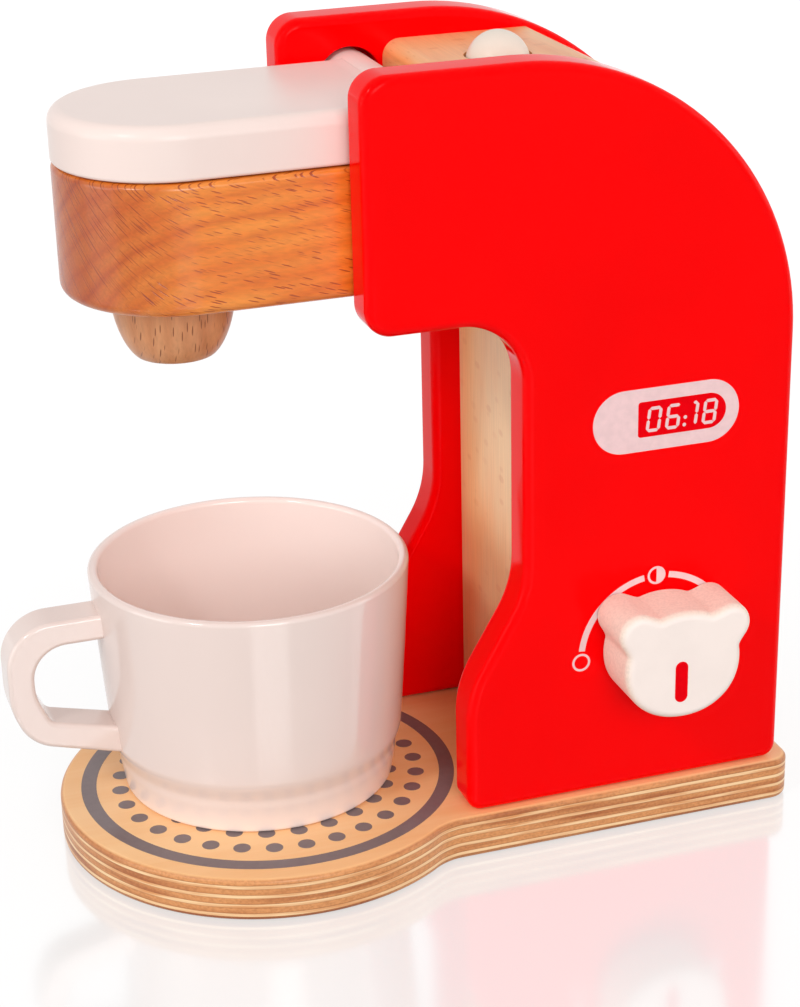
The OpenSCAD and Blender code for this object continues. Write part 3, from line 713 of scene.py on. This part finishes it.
def sawLid(sizes):
    low, high = boxOf("lid")
    barY, barZ, barRadius = rodOf("hinge_bar")
    sawPlate("lid_cream", noseMoves(high.x, low.y, barY), "plan", low.z, high.z)
    roundLevels("z", [low.z], sizes["edgeLow"], segments=4)
    roundLevels("z", [high.z], sizes["edgeHigh"], segments=8)
    run, risen = sizes["blendTo"] - sizes["blendFrom"], 0
    for i in range(1, sizes["blendRows"] + 1):  # the top swells up to the round bar
        row = sizes["blendFrom"] + run * i / sizes["blendRows"]
        selectAll()
        bpy.ops.mesh.bisect(plane_co=(0, row * mm, 0), plane_no=(0, 1, 0))
        rise = sizes["blendRise"] * (i / sizes["blendRows"]) ** 2
        pick("VERT", lambda v: v.co.y / mm > row - slack and v.co.z / mm > high.z - slack)
        bpy.ops.transform.translate(value=(0, 0, (rise - risen) * mm))
        risen = rise
    lid = endEdit()
    return cutAway(lid, addCrossRod("bar", barRadius - sizes["barOverlap"], barY, barZ, low.x - past, high.x + past))


finishPiece(sawLid(lidSizes), "lid", "white_lacquer", creamLacquer, "lid")

barSizes = {"edge": 0.6}


def turnBar(sizes):
    low, high = boxOf("hinge_bar")
    y, z, radius = rodOf("hinge_bar")
    addCrossRod("lid_bar", radius, y, z, low.x, high.x, vertices=128)
    startEdit()
    roundLevels("x", (low.x, high.x), sizes["edge"], segments=3)
    return endEdit()


finishPiece(turnBar(barSizes), "lid", "white_lacquer", creamLacquer, "hinge_bar")

# top block with the button
topSizes = {"frontEdge": 4.5, "edge": 0.4, "boreRadius": 8.5, "boreDepth": 12.5, "stemHole": 3.1}


def sawTop(sizes):
    low, high = boxOf("top_block")
    sawPlate("top_pale", roundedCorners([
        (low.y, low.z, 0), (high.y, low.z, 0), (high.y, high.z, 0), (low.y, high.z, sizes["frontEdge"])], 6),
        "side", low.x, high.x)
    cutSlopes(slopePlanes(armSizes))
    roundLevels("x", (low.x, high.x), sizes["edge"], segments=2)
    top = endEdit()
    y = depthOf("button_dome")
    boreLow = high.z - sizes["boreDepth"]
    return cutAway(
        top,
        addUpright("bore", sizes["boreRadius"], y, boreLow, high.z + past),
        addUpright("stemHole", sizes["stemHole"], y, low.z - past, boreLow + past))


finishPiece(sawTop(topSizes), "frame", "pale_wood", paleWood, "top_block")

boardSizes = {"edge": 0.4}


def sawBoard(name, node, sizes):
    low, high = boxOf(node)
    bpy.ops.mesh.primitive_cube_add(size=1, location=(low + high) / 2 * mm, scale=(high - low) * mm)
    nameActive(name)
    bpy.ops.object.transform_apply()
    startEdit()
    pick("EDGE", lambda edge: True)
    roundPicked(sizes["edge"], segments=3)
    return endEdit()


for name, node in (("board_front", "front_panel"), ("board_rear", "rear_panel")):
    finishPiece(sawBoard(name, node, boardSizes), "frame", "pale_wood", boardLitWood, node)

buttonSizes = {"step": 0.3, "stem": 3, "screwHole": 1.65, "holeDepth": 8, "springGap": 0.02}


def turnButton(sizes):
    low, high = boxOf("button_dome")
    guide = (high.x - low.x) / 2
    dome = guide - sizes["step"]
    domeZ = high.z - dome
    guideLow = boxOf("button_spring")[1].z + sizes["springGap"]
    holeTop, hole, stem = low.z + sizes["holeDepth"], sizes["screwHole"], sizes["stem"]
    return turnOnLathe("button_cream", [
        (0, holeTop), (hole, holeTop), (hole, low.z), (stem, low.z), (stem, guideLow), (guide, guideLow),
        (guide, domeZ - sizes["step"]), (dome, domeZ), ("arc", (0, domeZ), 90, 16)], (0, depthOf("button_dome")))


finishPiece(turnButton(buttonSizes), "button", "white_lacquer", buttonShadedLacquer, "button_dome")

# spring under the button
springSizes = {"wire": 0.45, "turns": 5, "steps": 28, "press": 3.5}


def windSpring(sizes):
    low, high = boxOf("button_spring")
    y, wire = depthOf("button_spring"), sizes["wire"]
    coil = (high.x - low.x) / 2 - wire
    half = ("arc", (coil, low.z + wire), 180, 8)
    drawOutline("button_coil", [(coil - wire, low.z + wire), half, half], "front", 0)
    turnOutward()
    spring = endEdit()
    bpy.ops.object.modifier_add(type="SCREW")
    winding = spring.modifiers[-1]
    winding.steps = winding.render_steps = sizes["steps"]
    winding.iterations = sizes["turns"]
    winding.screw_offset = (high.z - low.z - 2 * wire) / sizes["turns"] * mm
    bpy.ops.object.modifier_apply(modifier=winding.name)
    startEdit()
    selectAll()
    bpy.ops.transform.translate(value=(0, y * mm, 0))
    weld()
    bpy.ops.mesh.select_all(action="DESELECT")
    bpy.ops.mesh.select_non_manifold()
    bpy.ops.mesh.edge_face_add()
    turnOutward()
    endEdit()
    finishPiece(spring, "frame", "steel", zinc, "button_spring", angle=60)
    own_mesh(spring)


windSpring(springSizes)

# spout
spoutSizes = {"radius": 15.5, "tip": 9.4, "swell": 1.4, "tipEdge": 0.8, "tenon": 7, "rows": 24, "firstRow": 0.15}


def turnSpout(sizes):
    low, high = boxOf("nozzle")
    root = boxOf("arm_block")[0].z
    profile = [(0, low.z), (sizes["tip"] - sizes["tipEdge"], low.z)]
    for i in range(1, sizes["rows"] + 1):
        turn = radians(90 * i / sizes["rows"])
        r = sizes["tip"] + (sizes["radius"] - sizes["tip"]) * sin(turn) ** sizes["swell"]
        z = root - (root - low.z) * cos(turn)
        if z > low.z + sizes["firstRow"]:
            profile.append((r, z))
    profile += [(sizes["tenon"], root), (sizes["tenon"], high.z), (0, high.z)]
    return turnOnLathe("spout_beech", profile, (0, depthOf("nozzle")))


finishPiece(turnSpout(spoutSizes), "frame", "turned_beech", turnedBeech, "nozzle")

# knob
knobSizes = {"halfWidth": 16, "halfHeight": 14.9, "headRise": 1.1, "power": 2.1, "earOut": 16, "earRadius": 5.6,
             "earTurn": 38, "blend": 15, "soften": 1.9, "turned": 2.4, "points": 180, "edgeFront": 2.2,
             "edgeBack": 0.5, "seatDepth": 8, "seatRoom": 0.05}


def knobRadius(turn, s):  # a rounded head and two ears, softened over five nearby turns
    def sharp(t):
        a = radians(t)
        wide, tall = abs(cos(a)) / s["halfWidth"], abs(sin(a)) / s["halfHeight"]
        head = (wide ** s["power"] + tall ** s["power"]) ** (-1 / s["power"])
        off = radians(abs(90 - t) - (90 - s["earTurn"]))
        inside = s["earRadius"] ** 2 - (s["earOut"] * sin(off)) ** 2
        ear = max(0.0, s["earOut"] * cos(off) + (1 if inside > 0 else -1) * sqrt(abs(inside)))
        return (head ** s["blend"] + ear ** s["blend"]) ** (1 / s["blend"])
    return sum(sharp(turn + i * s["soften"]) for i in (-2, -1, 0, 1, 2)) / 5


def sawKnob(sizes):
    low, high = boxOf("knob")
    y, z, axleRadius = rodOf("knob_axle")
    lean = radians(sizes["turned"])
    headY, headZ = y + sizes["headRise"] * sin(lean), z + sizes["headRise"] * cos(lean)
    moves = []
    for i in range(sizes["points"]):
        turn = -90 + i * 360 / sizes["points"]
        r = knobRadius(turn, sizes)
        moves.append((headY + r * cos(radians(turn) - lean), headZ + r * sin(radians(turn) - lean)))
    sawPlate("knob_cream", moves, "side", low.x, high.x)
    roundLevels("x", [high.x], sizes["edgeFront"], segments=7)
    roundLevels("x", [low.x], sizes["edgeBack"], segments=3)
    knob = endEdit()
    return cutAway(knob, addCrossRod(
        "seat", axleRadius + sizes["seatRoom"], y, z, low.x - past, low.x + sizes["seatDepth"]))


finishPiece(sawKnob(knobSizes), "knob", "white_lacquer", knobLacquer, "knob")


# prints on the right panel and the knob: each a thin film on the face that carries it
def filmOn(name, moves, faceX, lift=film):
    sawPlate(name, moves, "side", faceX - sink, faceX + lift)
    return endEdit()


def pillMoves(left, right, low, high, leftCorner=None):  # round at both ends, or with its own corners at the left
    r = (high - low) / 2 - hair
    q = r if leftCorner is None else leftCorner - hair
    return roundedCorners([(left, low, q), (right, low, r), (right, high, r), (left, high, q)], 6)


displaySizes = {"plate": (77.2, 117.1, 107.05, 123.75), "window": (89.4, 113.5, 110.8, 120.2), "windowCorner": 0.8,
                "digitLow": 112.4, "digitHigh": 118.25, "digitWidth": 3.05, "slant": 0.7, "stroke": 0.84, "gap": 0.05,
                "digits": ((91.85, "0"), (97.1, "6"), (101.95, "1"), (107.15, "8")), "flagWidth": 1.3,
                "colon": 102.0, "colonRises": (0.1, 0.78), "colonDot": 0.48}
# a figure's seven bars, each from corner to corner; corners count from the lower left, in widths and heights
bars = {"a": ((0, 2), (1, 2)), "b": ((1, 1), (1, 2)), "c": ((1, 0), (1, 1)), "d": ((0, 0), (1, 0)),
        "e": ((0, 0), (0, 1)), "f": ((0, 1), (0, 2)), "g": ((0, 1), (1, 1))}
figures = {"0": "abcdef", "6": "acdefg", "1": "bc", "8": "abcdefg"}


def barMoves(start, end, width, gap):  # a bar with pointed ends
    start, end = Vector(start), Vector(end)
    along = (end - start).normalized()
    side = Vector((-along.y, along.x)) * width / 2
    start, end = start + along * gap, end - along * gap
    half = along * width / 2
    points = [start, start + half - side, end - half - side, end, end - half + side, start + half + side]
    return [tuple(p) for p in points]


def printDisplay(sizes):  # the window lies on the plate, and the figures lie on the window
    face = boxOf("side_panel_right")[1].x
    plate = filmOn("display_plate", pillMoves(*sizes["plate"]), face)
    window = filmOn("display_window", pillMoves(*sizes["window"], sizes["windowCorner"]), face + film)
    face += 2 * film
    low, width, slant = sizes["digitLow"], sizes["digitWidth"], sizes["slant"]
    height = (sizes["digitHigh"] - low) / 2
    films = []
    for left, digit in sizes["digits"]:
        for bar in figures[digit]:
            ends = [(left + u * width + v * slant / 2, low + v * height) for u, v in bars[bar]]
            films.append(filmOn("bar", barMoves(*ends, sizes["stroke"], sizes["gap"]), face))
    flagEnd = sizes["digits"][2][0] + width + slant  # the short flag at the top of the 1
    flagEnds = (flagEnd - sizes["flagWidth"], sizes["digitHigh"]), (flagEnd, sizes["digitHigh"])
    films.append(filmOn("bar", barMoves(*flagEnds, sizes["stroke"], sizes["gap"]), face))
    for rise in sizes["colonRises"]:
        y, z = sizes["colon"] + rise * slant / 2, low + rise * height
        films.append(addCrossRod("dot", sizes["colonDot"], y, z, face - sink, face + film, vertices=24))
    return plate, window, joinPieces("display_digits", films)


for piece, material in zip(printDisplay(displaySizes), (paleInk, redInk, paleInk)):
    finishPiece(piece, "frame", "red_lacquer", material)

dialSizes = {"centreY": 95.4, "centreZ": 51.4, "radius": 20.8, "stroke": 1.7, "markRadius": 2.5, "line": 0.6,
             "marks": ((181.8, "ring"), (90.0, "half"), (0.0, "full")), "halfFilm": 0.045,
             "arcs": ((173.0, 99.5), (80.5, 10.5)), "stepTurn": 3}


def arcMoves(sizes, start, end):
    y, z, r, w = sizes["centreY"], sizes["centreZ"], sizes["radius"], sizes["stroke"] / 2
    a, b = radians(start), radians(end)
    steps = ceil(abs(end - start) / sizes["stepTurn"])
    return [(y + (r + w) * cos(b), z + (r + w) * sin(b)), ("arc", (y, z), start - end, steps),
            (y + (r - w) * cos(a), z + (r - w) * sin(a)), ("arc", (y, z), end - start, steps)]


def printDial(sizes):
    face = boxOf("side_panel_right")[1].x
    films = [filmOn("arc", arcMoves(sizes, start, end), face) for start, end in sizes["arcs"]]
    for turn, kind in sizes["marks"]:
        y = sizes["centreY"] + sizes["radius"] * cos(radians(turn))
        z = sizes["centreZ"] + sizes["radius"] * sin(radians(turn))
        outer, line = sizes["markRadius"], sizes["line"]
        mark = addCrossRod("mark", outer, y, z, face - sink, face + film, vertices=48)
        films.append(mark)
        if kind != "full":
            cutAway(mark, addCrossRod("inside", outer - line, y, z, face - past, face + past, vertices=48))
        if kind == "half":
            inner = outer - line / 2
            films.append(filmOn("half", [(y, z - inner), ("arc", (y, z), 180, 24)], face, sizes["halfFilm"]))
    return joinPieces("dial_print", films)


finishPiece(printDial(dialSizes), "frame", "red_lacquer", paleInk)

markSizes = {"width": 3.5, "low": 43.4, "high": 54.9, "y": 95.5}


def printMark(sizes):
    y, half, low, high = sizes["y"], sizes["width"] / 2, sizes["low"], sizes["high"]
    r = half - hair
    return filmOn("knob_mark", roundedCorners([
        (y - half, low, r), (y + half, low, r), (y + half, high, r), (y - half, high, r)], 8), boxOf("knob")[1].x)


finishPiece(printMark(markSizes), "knob", "white_lacquer", redInk)

# cup; heights are above its own foot
cupSizes = {"rim": 42.1, "belly": 38.4, "flare": 0.85, "wall": 2.6, "rows": 14,
            "foot": 37.2, "footLow": 36.2, "footHigh": 9.3, "footTop": 2, "footEdge": 1.2,
            "hollow": 0.6, "hollowIn": 5, "ringIn": 4,  # the shallow hollow in the underside, and the ring it stands on
            "shoulder": 6.5, "stepOut": 0.1, "stepDown": 0.5, "stepRows": 8,
            "floor": 4.0, "floorBend": 7.0, "floorMiddle": 0.4}


def cupRadius(height, tall, s):
    share = max(0.0, (height - s["footHigh"]) / (tall - s["footHigh"]))
    return s["belly"] + (s["rim"] - s["belly"]) * share ** s["flare"]


def turnCup(sizes):
    low, high = boxOf("cup")
    tall, lip = high.z - low.z, sizes["wall"] / 2
    foot, footLow, footHigh, edge = sizes["foot"], sizes["footLow"], sizes["footHigh"], sizes["footEdge"]
    outer = [(0, sizes["hollow"]), (footLow - sizes["hollowIn"], sizes["hollow"]), (footLow - sizes["ringIn"], 0),
             (footLow - edge, 0)]
    outer += [(footLow - edge + edge * sin(pi * i / 8), edge - edge * cos(pi * i / 8)) for i in range(1, 5)]
    outer.append((foot, footHigh - sizes["footTop"]))
    shoulder, rows = sizes["shoulder"], sizes["stepRows"]
    footOut = foot + sizes["stepOut"]
    top = cupRadius(footHigh + shoulder, tall, sizes)
    stepLow = footHigh - sizes["stepDown"]
    for i in range(rows + 1):  # soft step from the foot band out to the wall
        t = i / rows
        ease = t * t * (3 - 2 * t)
        outer.append((footOut + (top - footOut) * ease, stepLow + (shoulder + sizes["stepDown"]) * t))
    rows = sizes["rows"]
    for i in range(1, rows + 1):
        h = footHigh + shoulder + (tall - lip - footHigh - shoulder) * i / rows
        outer.append((cupRadius(h, tall, sizes), h))
    rimX, rimZ = outer[-1][0] - lip, outer[-1][1]
    lipArc = [(rimX + lip * cos(radians(a)), rimZ + lip * sin(radians(a))) for a in range(15, 181, 15)]
    floor, bend = sizes["floor"], sizes["floorBend"]
    inner = []
    for i in range(rows, 0, -1):
        h = floor + bend + (tall - lip - floor - bend) * (i - 1) / rows
        inner.append((cupRadius(h, tall, sizes) - sizes["wall"], h))
    base = inner[-1][0]
    inner += [(base - bend + bend * cos(radians(a)), floor + bend - bend * sin(radians(a))) for a in range(10, 91, 10)]
    inner += [(base * sizes["floorMiddle"], floor), (0, floor)]
    profile = [(r, low.z + h) for r, h in outer + lipArc + inner]
    return turnOnLathe("cup_cream", profile, ((low.x + high.x) / 2, depthOf("cup")), steps=128)


finishPiece(turnCup(cupSizes), "cup", "white_lacquer", cupLacquer, "cup")

handleSizes = {  # corners are (out from the cup's axis, up from its foot, radius)
    "high": 54.8, "strap": 6.8, "low": 14.3, "lowStrap": 7.7, "edge": 1.3, "root": 1.3,
    "outside": ((66.3, 54.8, 12.5), (66.3, 31.5, 20), (62.0, 21.0, 12)),
    "inside": ((56.1, 26.6, 3.5), (59.5, 34.5, 14), (59.5, 48.0, 9))}


def sawHandle(sizes):
    cupLow, cupHigh = boxOf("cup")
    low, high = boxOf("cup_handle")
    cupY, base = depthOf("cup"), cupLow.z
    top, bottom, strap = sizes["high"], sizes["low"], sizes["strap"]
    tall = cupHigh.z - base
    rootHigh = cupRadius(top - strap / 2, tall, cupSizes) - sizes["root"]
    rootLow = cupRadius(bottom + strap / 2, tall, cupSizes) - sizes["root"]
    corners = [(rootHigh, top, 0), *sizes["outside"], (rootLow, bottom, 0),
               (rootLow, bottom + sizes["lowStrap"], 0), *sizes["inside"], (rootHigh, top - strap, 0)]
    moves = roundedCorners([(cupY - u, base + v, r) for u, v, r in corners], 4)
    sawPlate("cup_strap", moves, "side", low.x, high.x)
    rootY = cupY - rootHigh - near
    for level in (low.x, high.x):
        pick("EDGE", lambda edge: onLevel("x", level)(edge) and not all(v.co.y / mm > rootY for v in edge.verts))
        roundPicked(sizes["edge"], segments=7)
    return endEdit()


finishPiece(sawHandle(handleSizes), "cup", "white_lacquer", cupLacquer, "cup_handle")

# the hidden parts stay as the frame has them, each with its finish
hiddenFinishes = {
    "button_washer": zinc, "button_screw": zinc, "knob_retainer": zinc, "knob_screw": zinc, "base_screws": zinc,
    "knob_washer": rubber, "knob_axle": turnedBeech, "panel_dowels": turnedBeech}
for node, material in hiddenFinishes.items():
    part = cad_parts[node]
    part.data.materials.clear()
    part.data.materials.append(material)
print("all pieces made")

# floor, light and camera, in metres
stageSizes = {"floorRadius": 6.0, "floorDrop": 0.0002, "floorColour": (0.22, 0.218, 0.216, 1), "floorLift": 0.6,
              "floorRoughness": 0.13, "mirror": 2.8, "sky": 0.6}


def seenDirectly(tree):  # 1 for the camera and for mirrored or clear rays, else 0
    rays = addNode(tree, "LightPath").outputs
    seen = reckon(tree, "MAXIMUM", rays["Is Camera Ray"], rays["Is Glossy Ray"])
    return reckon(tree, "MAXIMUM", seen, rays["Is Transmission Ray"])


def layFloor(sizes):  # a white acrylic sheet, which mirrors the object faintly
    bpy.ops.mesh.primitive_circle_add(
        vertices=96, radius=sizes["floorRadius"], fill_type="NGON", location=(0, 0, -sizes["floorDrop"]))
    floor = bpy.context.active_object
    floor.name = "floor"
    material, tree, surface = startMaterial("pale floor", sizes["floorRoughness"], IOR=sizes["mirror"])
    surface.inputs["Base Color"].default_value = sizes["floorColour"]
    surface.inputs["Emission Color"].default_value = white
    tree.links.new(
        reckon(tree, "MULTIPLY", seenDirectly(tree), sizes["floorLift"]), surface.inputs["Emission Strength"])
    floor.data.materials.append(material)


def lightSky(sizes):
    world = bpy.data.worlds.new("plain studio")
    bpy.context.scene.world = world
    world.use_nodes = True
    tree = world.node_tree
    sky = tree.nodes["Background"]
    sky.inputs["Color"].default_value = white
    strength = addNode(tree, "MapRange", {"Value": seenDirectly(tree), "To Min": sizes["sky"], "To Max": 1.0})
    tree.links.new(strength.outputs["Result"], sky.inputs["Strength"])


layFloor(stageSizes)
lightSky(stageSizes)

lampAim = Vector((0, 0.03, 0.1))
lampSizes = {  # place, size, watts
    "front softbox": ((0.65, -1.05, 1.1), 0.2, 4.6),
    "low front softbox": ((0.1, -1.55, 0.3), 0.9, 6.0),
    "side softbox": ((1.55, -0.05, 0.7), 0.7, 10.5),
    "rear softbox": ((0.3, 1.6, 0.6), 0.9, 5.0)}
for name, (place, size, watts) in lampSizes.items():
    bpy.ops.object.light_add(type="AREA", location=place)
    lamp = bpy.context.active_object
    lamp.name = name
    lamp.data.shape = "SQUARE"
    lamp.data.size = size
    lamp.data.energy = watts
    lamp.rotation_euler = (lampAim - Vector(place)).to_track_quat("-Z", "Y").to_euler()

cameraSizes = {"place": (0.57592, -0.14817, 0.33534), "azimuth": 71.49, "elevation": 25.14, "roll": -1.23,
               "lens": 88.85, "shiftX": -0.0208, "shiftY": 0.1157, "nearest": 0.01}
bpy.ops.object.camera_add(
    location=cameraSizes["place"],
    rotation=(radians(90 - cameraSizes["elevation"]), 0, radians(cameraSizes["azimuth"])))
camera = bpy.context.active_object
camera.rotation_euler.rotate_axis("Z", radians(cameraSizes["roll"]))
camera.data.lens = cameraSizes["lens"]
camera.data.shift_x = cameraSizes["shiftX"]
camera.data.shift_y = cameraSizes["shiftY"]
camera.data.clip_start = cameraSizes["nearest"]
bpy.context.scene.camera = camera
bpy.context.scene.view_settings.view_transform = "Standard"
print("stage set")
